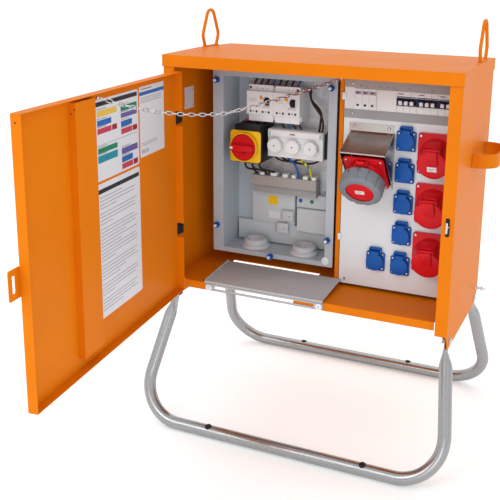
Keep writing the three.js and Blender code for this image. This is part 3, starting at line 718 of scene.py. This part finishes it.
def buildSupplyDevices():
    for label, (x0, rocker, button) in rcd.items():
        finer(f"rcd_{label}", "cabinet", devicesWhite, 0.9)
        finer(f"rcd_rocker_{label}", f"rcd_rocker_{label}", mouldBlackAndHoleShade, 0.5)
        bm = bmesh.new()
        turned(bm, [(0, 12.9), (3.2, 12.9), (4.2, 12.2), (4.4, 10.5), (4.4, 0), (0, 0)],
               facingFront(button, -5, 873), steps=22)
        deliver(bm, f"rcd_test_button_{label}_cap", f"rcd_button_{label}", [buttonAmber],
                (f"rcd_test_button_{label}",))
    bm = bmesh.new()  # black discs as painted shade in the terminal holes, captive screws and printed marks
    for x0, rocker, button in rcd.values():
        for i in range(4):
            x = x0 + 12 + 18.2 * i
            disc(bm, 0.5, 2.9, 3.3, facingFront(x, -15, 834), steps=16)
            if i % 2 == 0:
                block(bm, (x + 7.5, x + 10.5), (-15.4, -14.9), (833, 836))
        for z in (846, 849.5):
            block(bm, (rocker - 14, rocker + 10), (-15.3, -14.9), (z, z + 0.9), finish=1)
        for z in (862, 866, 870):
            block(bm, (x0 + 8, x0 + 30), (-15.3, -14.9), (z, z + 0.8), finish=1)
    for x in (-230, -90):
        disc(bm, 0.6, 3.2, 3.6, facingFront(x, -6, 899), steps=16)
    for x in (-214, -198, -182, -120, -106):
        block(bm, (x, x + 7), (-6.4, -5.9), (897, 898.2), finish=1)
    deliver(bm, "rcd_marks", "cabinet", [mouldBlackAndHoleShade, inkGrey])

    finer("fuse_block", "cabinet", devicesWhite, 1.0)
    bm = bmesh.new()
    for x in (-149.5, -97.3, -44.2):
        seat = facingFront(x, -8, 744.6)
        turned(bm, [(0, 0), (21.4, 0), (21.8, 13), (20.6, 17.2), (16.4, 19.2), (15.4, 18.4), (14.6, 15.6),
                    (6.4, 15.6), (5.6, 17.8), (0, 17.8)], seat, steps=48, groove=6, draw=2.8, above=18)
        turned(bm, [(0, 18.4), (2.0, 18.4), (2.2, 17.4), (0, 17.4)], seat, steps=12, finish=1)
        block(bm, (x - 5, x + 6), (-23.9, -23.4), (753, 754.4), finish=2)
    for x in (-168, -20):
        block(bm, (x, x + 1.8), (-14.5, -13.9), (772, 784), finish=1)
    block(bm, (-108, -92), (-14.4, -13.9), (776, 780), finish=2)
    block(bm, (-12.4, -4), (4, 60), (714, 782), edge=1, finish=1)
    deliver(bm, "fuse_caps", "cabinet", [devicesWhite, mouldBlackAndHoleShade, inkGrey])
    print("supply devices done")


switch = {"centre": (-227, 739), "dial": 36.5}


def buildMainSwitch():
    x, z = switch["centre"]
    bm = bmesh.new()
    plate(bm, (-273, -181), (-46, -41), (695, 783), 9, "y", 0.9, 0)
    turned(bm, [(0, 0), (40.6, 0), (41, 1), (41, 14.6), (40.4, 15.4), (38.4, 15.4), (37.8, 14.8), (37.6, 6),
                (0, 6)], facingFront(x, -46, z), steps=64)
    block(bm, (-262, -186), (-41.5, 60), (692, 798), edge=2.2, finish=1)
    for i in range(3):
        block(bm, (-258 + 25 * i, -240 + 25 * i), (-6, 20), (796, 801), edge=0.8, finish=1)
        disc(bm, 9, 3.4, 4, move(-249 + 25 * i, 6, 799), steps=12, finish=2)
    deliver(bm, "main_switch_body", "cabinet", [switchYellow, mouldBlackAndHoleShade, ferruleRed],
            ("main_switch",))
    bm = bmesh.new()
    seat = facingFront(x, -52.3, z)
    r = switch["dial"]
    turned(bm, [(0, 0), (r - 1, 0), (r, 1.4), (r, 7), (r - 2.4, 9.4), (0, 9.6)], seat, steps=56)
    plate(bm, (x - 34, x + 34), (-77, -60), (z - 8.5, z + 8.5), 7, "y", 1.6, 0)
    turned(bm, [(0, 0), (8, 0), (8, 20), (0, 20)], move(x, -33, z) @ turn("X", 90), steps=20)
    block(bm, (x - 33, x - 24), (-77.6, -76.4), (z - 3, z + 3), edge=0.2, finish=1)
    # painted shade: a black disc stands in for the small hole below the grip bar
    disc(bm, 0.4, 2.6, 2.8, facingFront(x + 2, -61.9, z - 14), steps=14, finish=2)
    deliver(bm, "switch_dial", "switch_handle", [outletRed, devicesWhite, mouldBlackAndHoleShade],
            ("switch_handle",))
    print("main switch done")


# ---- wires inside the supply enclosure ----
def buildWires():
    def run(bm, points, finish, ferrule=0, radius=2.6):
        tube(bm, [Vector(p) for p in points], radius, sides=2, soft=True, finish=finish)
        for end in range(ferrule):
            a, b = Vector(points[-1 if end else 0]), Vector(points[-2 if end else 1])
            way = (b - a).normalized()
            tube(bm, [a - way * 3, a + way * 8], radius * 1.35, sides=2, finish=4)
    bm = bmesh.new()
    for i in range(8):
        x = -229 + 18.6 * i
        run(bm, [(x, 20, 903), (x, 20, 914), (x + 4, 30, 922), (x + 2, 46, 928)],
            2 if i in (3, 7) else i % 2, 1)
    for i in range(3):
        x = -228 + 17 * i
        run(bm, [(x, 14, 810), (x, 14, 800), (x - 5, 12, 794)], 0, 1)
        a, b = -249 + 22 * i, -226 + 30 * i
        run(bm, [(a, 0, 694), (a, 0, 680), (a + 2, -2, 668), (b - 6, 4, 664), (b, 22, 660), (b + 2, 24, 648)],
            0, 0, 3.0)
    for i in range(4):
        x = -146 + 17 * i
        run(bm, [(x, 16, 810), (x, 16, 801), (x + 8, 14, 795), (x + 10, 16, 786)], (0, 2, 1, 0)[i], 1)
    for lean, finish in ((0, 1), (9, 0)):
        run(bm, [(-70, 40, 900 - lean), (-62, 14, 884 - lean), (-50 + lean, 4, 862), (-30 + lean, 0, 846),
                 (-14 - lean, -2, 822), (-18 - lean, 4, 800), (-22 - lean, 8, 786)], finish, 1, 3.2)
    run(bm, [(-165, 16, 712), (-160, 8, 700), (-120, 6, 694), (-90, 10, 700), (-84, 16, 712)], 0, 0)
    run(bm, [(-150, 22, 712), (-140, 14, 696), (-80, 12, 690), (-34, 12, 698), (-28, 18, 712)], 0, 0, 3.0)
    run(bm, [(-128, 16, 712), (-120, 10, 702), (-98, 4, 696), (-90, 6, 676), (-93, 20, 650)], 2, 1, 3.2)
    run(bm, [(-96, 16, 712), (-90, 8, 704), (-62, 0, 700), (-48, 2, 676), (-56, 22, 650)], 3, 1, 3.2)
    deliver(bm, "supply_wires", "cabinet", [wireBlack, wireBrown, wireBlue, earthWire, ferruleRed],
            smooth=60)
    print("wires done")


# ---- socket panel ----
panelScrews = ((78.5, 934), (78.5, 857), (372, 934), (372, 400), (72, 400))


def buildPanel():
    finer("socket_panel", "cabinet", panelPaint, 0.4)
    finer("hood_63", "cabinet", hoodSteel, 0.4)
    bm = bmesh.new()
    block(bm, (57, 388), (-40.8, -40.05), (844, 867.5), edge=0.2)
    block(bm, (57, 388), (-40.8, -40.05), (924, 949), edge=0.2, finish=1)
    for x in (96, 114, 132, 149, 168, 186, 226, 285):
        block(bm, (x, x + 5), (-41, -40.7), (928, 931), finish=2)
    for x, z in panelScrews:
        screwHead(bm, x, -40.8 if z > 840 else -40.0, z, 4.0, finish=3)
    for x, z in ((86.6, 825), (179.5, 823)):
        screwHead(bm, x, -42.0, z, 4.6, finish=3)
    for z in (900, 518):
        block(bm, (50, 60), (-44, -40.3), (z - 9, z + 9), edge=0.8, finish=4)
    deliver(bm, "panel_trim", "cabinet", [stripGrey, stripWarm, inkGrey, zinc, devicesWhite])

    bm = bmesh.new()  # a small plain plate on the inner left wall, the earthing stud on the right side
    plate(bm, (-390.4, -389.8), (-92, -41), (836, 896), 2, "x", 0, 0, steps=3)
    for y, z in ((-84, 888), (-49, 888), (-84, 844), (-49, 844)):
        disc(bm, 0.4, 1.8, 2, move(-389.8, y, z) @ turn("Y", 90), steps=10, finish=1)
    plate(bm, (372, 382), (-196.9, -195.9), (606, 652), 3, "y", 0.2, 3)
    stud = move(393, 172, 352) @ turn("Y", 90)
    turned(bm, [(0, 26), (2.6, 26), (3, 25), (3, 0), (0, 0)], stud, steps=14, finish=1)
    disc(bm, 1.4, 7.4, 7.6, stud, steps=20, finish=1)
    hexHead(bm, stud @ move(0, 0, 1.4), 13, 5, finish=1)
    hexHead(bm, stud @ move(0, 0, 14), 13, 5, finish=2)
    deliver(bm, "wall_plate_and_stud", "cabinet", [paper, zinc, brass, mouldBlackAndHoleShade])
    print("socket panel done")


# ---- breaker row ----
row = {"z": (868.5, 922.5), "front": -43, "back": 18, "slot": (886, 906), "pole": 17.8, "first": 195.7,
       "pitch": 53.5, "axle": (-41, 896)}


def buildBreakers():
    bm = bmesh.new()
    z0, z1 = row["z"]
    s0, s1 = row["slot"]
    front, back = row["front"], row["back"]
    block(bm, (84.6, 356.4), (-30, back), (z0, z1))
    for i in range(3):  # single modules with a slim coloured band and a small lever
        x = 84.6 + 19.4 * i
        block(bm, (x, x + 19), (front, -29), (z0, z1), edge=0.8)
        block(bm, (x + 1, x + 18), (front - 0.3, front + 0.1), (907, 916), finish=3)
        block(bm, (x + 3, x + 12), (front - 0.5, front), (909, 914), finish=4)
        block(bm, (x + 2, x + 17), (front - 1.2, front), (878, 896), edge=0.6)
        block(bm, (x + 6, x + 12), (front - 4, front - 1), (877, 882), edge=0.6, finish=2)
    block(bm, (143.2, 195.2), (front, -29), (z0, z1), edge=0.5)
    for i in range(3):
        x0 = row["first"] + row["pitch"] * i
        for k in range(3):
            x = x0 + row["pole"] * k
            block(bm, (x + 0.2, x + row["pole"]), (front, -29), (z0, s0 - 0.3), edge=0.7)
            block(bm, (x + 0.2, x + row["pole"]), (front, -29), (s1 + 0.3, z1), edge=0.7)
        block(bm, (x0 + 1, x0 + 52), (front - 0.3, front + 0.1), (907.5, 909.5), finish=1)
        block(bm, (x0 + 4, x0 + 16), (front - 0.3, front + 0.1), (915, 917), finish=1)
        for x in (x0 + 0.2, x0 + 49.2):
            block(bm, (x, x + 4.4), (front, -29), (s0 - 0.5, s1 + 0.5), edge=0.3, finish=1)
    deliver(bm, "breaker_bodies", "cabinet", [devicesWhite, bandBlue, mouldBlackAndHoleShade, stripWarm, inkPurple],
            ("breaker_row",))
    y, z = row["axle"]
    for i in range(3):
        x0 = row["first"] + row["pitch"] * i
        bm = bmesh.new()
        for k in range(3):
            x = x0 + 6 + 14.5 * k
            turned(bm, [(0, 0), (7.6, 0), (8.3, 0.7), (8.3, 12.2), (7.6, 12.9), (0, 12.9)],
                   move(x, y, z) @ turn("Y", 90), steps=24)
            plate(bm, (x + 1.6, x + 10.6), (y - 13, y - 7), (z - 6.5, z + 3.5), 1.8, "y", 0.7, 1, steps=3)
        block(bm, (x0 + 7, x0 + 46.5), (y - 9.8, y - 7), (z - 3, z + 2), edge=0.6)
        turned(bm, [(0, 0), (4, 0), (4, 41.5), (0, 41.5)], move(x0 + 6, y, z) @ turn("Y", 90), steps=12)
        deliver(bm, f"breaker_levers_{i + 1}", f"breaker_rocker_{i + 1}", [bandBlue, devicesWhite],
                (f"breaker_rocker_{i + 1}",))
    print("breakers done")


# ---- single-phase sockets ----
schuko = {"places": [(226, 796 - 83.8 * i) for i in range(5)] + [(159, 464)], "half": 26, "screw": 19.5,
          "lid": 23.4}


def buildSchukoSockets():
    y = panelFace
    for i, (x, z) in enumerate(schuko["places"], 1):
        h = schuko["half"]
        bm = bmesh.new()
        plate(bm, (x - h, x + h), (y - 3.5, y), (z - h, z + h), 5, "y", 1.0, 0)
        turned(bm, [(0, -5), (19.4, -5), (19.6, 11.3), (20.6, 12.1), (22.2, 11.4), (22.4, 3), (22.8, 3),
                    (22.8, 0), (21, 0), (21, -26), (0, -26)], facingFront(x, y, z), steps=40)
        for s in (-1, 1):  # black discs as painted shade in the contact holes, earth clips and lid posts
            disc(bm, 0.15, 2.6, 2.7, facingFront(x + 9.5 * s, y + 5, z), steps=14,
                   finish=2)
            block(bm, (x - 3, x + 3), (y - 9, y + 4), (z + 18.2 * s - 0.8, z + 18.2 * s + 0.8), edge=0.3,
                  finish=3)
            block(bm, (x + s * 15 - 1.9, x + s * 15 + 1.9), (y - 12, y - 3), (z + 23, z + 36), edge=0.8)
        block(bm, (x - 15.5, x + 15.5), (y - 4.4, y - 0.4), (z + 20, z + 39), edge=1.0)
        plate(bm, (x - 15.5, x + 15.5), (y - 10, y - 2), (z + 34, z + 39.5), 1.6, "y", 0.8, 0, steps=3)
        fourScrews(bm, x, y - 3.4, z, schuko["screw"], schuko["screw"], 3.1)
        deliver(bm, f"schuko_socket_{i}_body", "cabinet", [outletBlue, zinc, mouldBlackAndHoleShade, brass],
                (f"schuko_socket_{i}",))
        bm = bmesh.new()
        r = schuko["lid"]
        turned(bm, [(0, 15.9), (r - 5, 15.7), (r - 3.4, 15.2), (r - 1.2, 15.0), (r, 14.2), (r, 12.8),
                    (r - 0.6, 12.4), (0, 12.4)], facingFront(x, y, z), steps=48)
        plate(bm, (x - 11.5, x + 11.5), (y - 15.4, y - 12.4), (z + 12, z + 29.5), 3, "y", 1.0, 0)
        block(bm, (x - 11.8, x + 11.8), (y - 13, y - 9.5), (z + 25, z + 29.4), edge=1.0)
        pin(bm, 2.5, 25, (0.3, 0.4), move(x - 12.5, y - 9.5, z + 27) @ turn("Y", 90), 16)
        deliver(bm, f"schuko_lid_{i}_cover", f"schuko_lid_{i}", [outletBlue],
                (f"schuko_lid_{i}",))
    print("single-phase sockets done")


# ---- three-phase sockets ----
cee = {"x": 306, "z": (770, 639.2, 508.4), "tilt": 20}


def buildCeeSockets():
    x = cee["x"]
    for i, z in enumerate(cee["z"], 1):
        lean = move(x, panelFace - 2, z - 4) @ turn("X", cee["tilt"])
        out = lean @ turn("X", 90)
        bm = bmesh.new()
        plate(bm, (x - 48, x + 48), (panelFace - 8, panelFace), (z - 53, z + 53), 7, "y", 1.6, 0)
        turned(bm, [(0, -2), (26.8, -2), (27.2, 43), (29, 44.2), (37, 43.6), (38.4, 41), (39, 26),
                    (40.5, 12), (44, 3), (44.5, -10), (0, -10)], out, steps=64)
        turned(bm, [(0, -40), (34, -40), (34.6, 2), (0, 2)], facingFront(x, panelFace, z), steps=32)
        for k in range(5):  # contact sleeves down in the bore
            a = math.radians(90 + 72 * k)
            turned(bm, [(2.2, -1), (2.2, 26), (4.2, 26), (4.2, -1)],
                   out @ move(15 * math.cos(a), 15 * math.sin(a), 0), steps=14, finish=2)
        block(bm, (-17, 17), (-39, -10), (30, 48), edge=2.0, place=lean)
        for s in (-1, 1):  # hinge cheeks above the mouth
            block(bm, (s * 18.6 - 2, s * 18.6 + 2), (-50, -14), (34, 46), edge=1.4, place=lean)
        fourScrews(bm, x, panelFace - 7.9, z, 40.6, 45, 4.0)
        deliver(bm, f"cee_socket_{i}_body", "cabinet", [outletRed, zinc, mouldBlackAndHoleShade],
                (f"cee_socket_{i}",))
        bm = bmesh.new()
        turned(bm, [(0, 50.6), (33, 50.2), (37, 49.4), (39.2, 48), (39.8, 46.2), (39.8, 45.0), (39.2, 44.5),
                    (0, 44.5)], out, steps=64)
        plate(bm, (-15.5, 15.5), (-56, -46), (4, 43), 4, "y", 3.0, 0, place=lean)
        pin(bm, 4, 32, (0.6, 0.6), lean @ move(-16, -46, 42) @ turn("Y", 90), 20)
        if i == 1:  # a plain white rating plate, left blank
            plate(bm, (-12, 12), (-51.2, -50.1), (-17, -3), 1, "y", 0.2, 1, place=lean)
            block(bm, (-8, 6), (-51.4, -51.1), (-9, -8), finish=2, place=lean)
            block(bm, (-8, 2), (-51.4, -51.1), (-13, -12), finish=2, place=lean)
        deliver(bm, f"cee_lid_{i}_cover", f"cee_lid_{i}", [outletRed, devicesWhite, inkGrey],
                (f"cee_lid_{i}",))
    print("three-phase sockets done")


# ---- high-current socket ----
big = {"centre": (136, -78.8, 715.5), "tilt": 39.2594}


def buildBigSocket():
    lean = move(*big["centre"]) @ turn("X", big["tilt"])
    out = lean @ turn("X", 90)
    bm = bmesh.new()
    plate(bm, (-53.5, 53.5), (-8, 0), (-57, 57), 8, "y", 1.6, 0, place=lean)
    turned(bm, [(0, 8), (30.8, 8), (31.2, 58), (32, 60), (33.6, 59.6), (34.4, 57), (37.6, 46), (38, 26),
                (39.4, 20), (47, 8), (47, 4), (0, 4)], out, steps=56)
    turned(bm, [(0, -20), (37.6, -20), (37.6, 6), (0, 6)], out, steps=40)
    for k in range(5):
        a = math.radians(90 + 72 * k)
        turned(bm, [(3.2, 7), (3.2, 42), (5.6, 42), (5.6, 7)],
               out @ move(18 * math.cos(a), 18 * math.sin(a), 0), steps=16, finish=2)
    for s in (-1, 1):
        block(bm, (s * 14 - 2.2, s * 14 + 2.2), (-27, -7), (42, 57), edge=1.2, place=lean)
        plate(bm, (s * 30 - 8, s * 30 + 8), (-11, -7), (30, 50), 4, "y", 1, 0, place=lean)
    fourScrews(bm, 0, -8, 0, 45.5, 48.5, 4.2, lean)
    deliver(bm, "socket_63_body", "cabinet", [outletRed, zinc, mouldBlackAndHoleShade], ("socket_63",))

    bm = bmesh.new()
    turned(bm, [(0, 68), (36, 68), (38.5, 68), (41.6, 67.4), (43.8, 65), (43.8, 24), (43, 22.4), (41.2, 22.4),
                (41.2, 63.5), (0, 63.5)], out, steps=56)
    turned(bm, [(0, 69.2), (33.5, 69.2), (35, 68.6), (35, 67), (0, 67)], out, steps=48)
    block(bm, (-10, 10), (-27, -22), (41.6, 64), edge=1.6, place=lean)
    pin(bm, 4, 20, (0.6, 0.6), lean @ move(-10, -24.5, 64) @ turn("Y", 90), 20)
    plate(bm, (-12, 12), (-70.1, -69), (-7.5, 5.5), 1, "y", 0.2, 1, place=lean)
    for z in (-4.4, -0.6, 2.6):
        block(bm, (-9, 6 + z), (-70.35, -70), (z, z + 0.9), finish=2, place=lean)
    deliver(bm, "socket_63_cap", "lid_63", [outletRed, devicesWhite, inkGrey],
            ("socket_63_lid",))

    bm = bmesh.new()
    turned(bm, [(44.9, 31), (44.9, 69.5), (37.2, 69.5), (37, 71.2), (44, 72), (52, 70.6), (55.6, 67.6),
                (57, 62.5), (57, 42), (55.2, 40.4), (55.2, 31.6), (54, 30.2), (46, 30.2), (44.9, 31)], out,
           steps=96, groove=8, draw=2.6, above=51)
    for k in range(12):  # grip lugs between the grooves
        lug = out @ turn("Z", 30 * k + 15)
        plate(bm, (54.4, 56.9), (-10, 10), (33, 41.6), 1.2, "x", 0.4, 0, steps=3, place=lug)
    deliver(bm, "bayonet_ring_grip", "ring_63", [ringGrey], ("bayonet_ring_63",), smooth=30)
    print("high-current socket done")


# ---- latch, cable flap ----
def buildSmallSteel():
    bm = bmesh.new()
    seat = facingFront(377, -197.2, 630)
    turned(bm, [(0, 1.1), (3.8, 1.1), (4.2, 0.5), (4.2, 0), (0, 0)], seat, steps=24)
    turned(bm, [(0, 9), (2.5, 9), (2.5, 0.5), (0, 0.5)], seat, steps=16)
    plate(bm, (374.5, 379.5), (-208.2, -204.4), (616, 644), 2.4, "y", 0.9, 0, steps=4)
    deliver(bm, "latch_staple", "latch", [zinc], ("latch",))
    finer("cable_flap", "cable_flap", flapPaint, 0.5)
    finer("flap_bracket", "cabinet", flapPaint, 0.6)
    bm = bmesh.new()
    for x in (-267, 54):
        turned(bm, [(0, 0.9), (6.2, 0.9), (9.0, 0.4), (9.2, -0.8), (0, -0.8)], facingFront(x, -188.3, 367.75),
               steps=28)
        turned(bm, [(0, 2.1), (2.2, 2.1), (2.6, 0.6), (0, 0.6)], facingFront(x, -188.3, 367.75), steps=12,
               finish=1)
    disc(bm, 0.5, 2.0, 2.2, move(-110, -110, 391.2) @ turn("X", 5), steps=12,
           finish=1)
    deliver(bm, "flap_bolts", "cabinet", [devicesWhite, zinc])
    print("latch and flap done")


def buildFloor():
    bm = bmesh.new()
    bmesh.ops.create_grid(bm, x_segments=1, y_segments=1, size=40)
    mesh = bpy.data.meshes.new("studio_floor")
    bm.to_mesh(mesh)
    bm.free()
    mesh.materials.append(floorPaint)
    ground = bpy.data.objects.new("studio_floor", mesh)
    bpy.context.collection.objects.link(ground)


aimCamera()
lightStudio()
buildFloor()
buildSteelwork()
buildStand()
buildDoor()
buildChain()
buildSupplyBox()
buildSupplyDevices()
buildMainSwitch()
buildWires()
buildPanel()
buildBreakers()
buildSchukoSockets()
buildCeeSockets()
buildBigSocket()
buildSmallSteel()
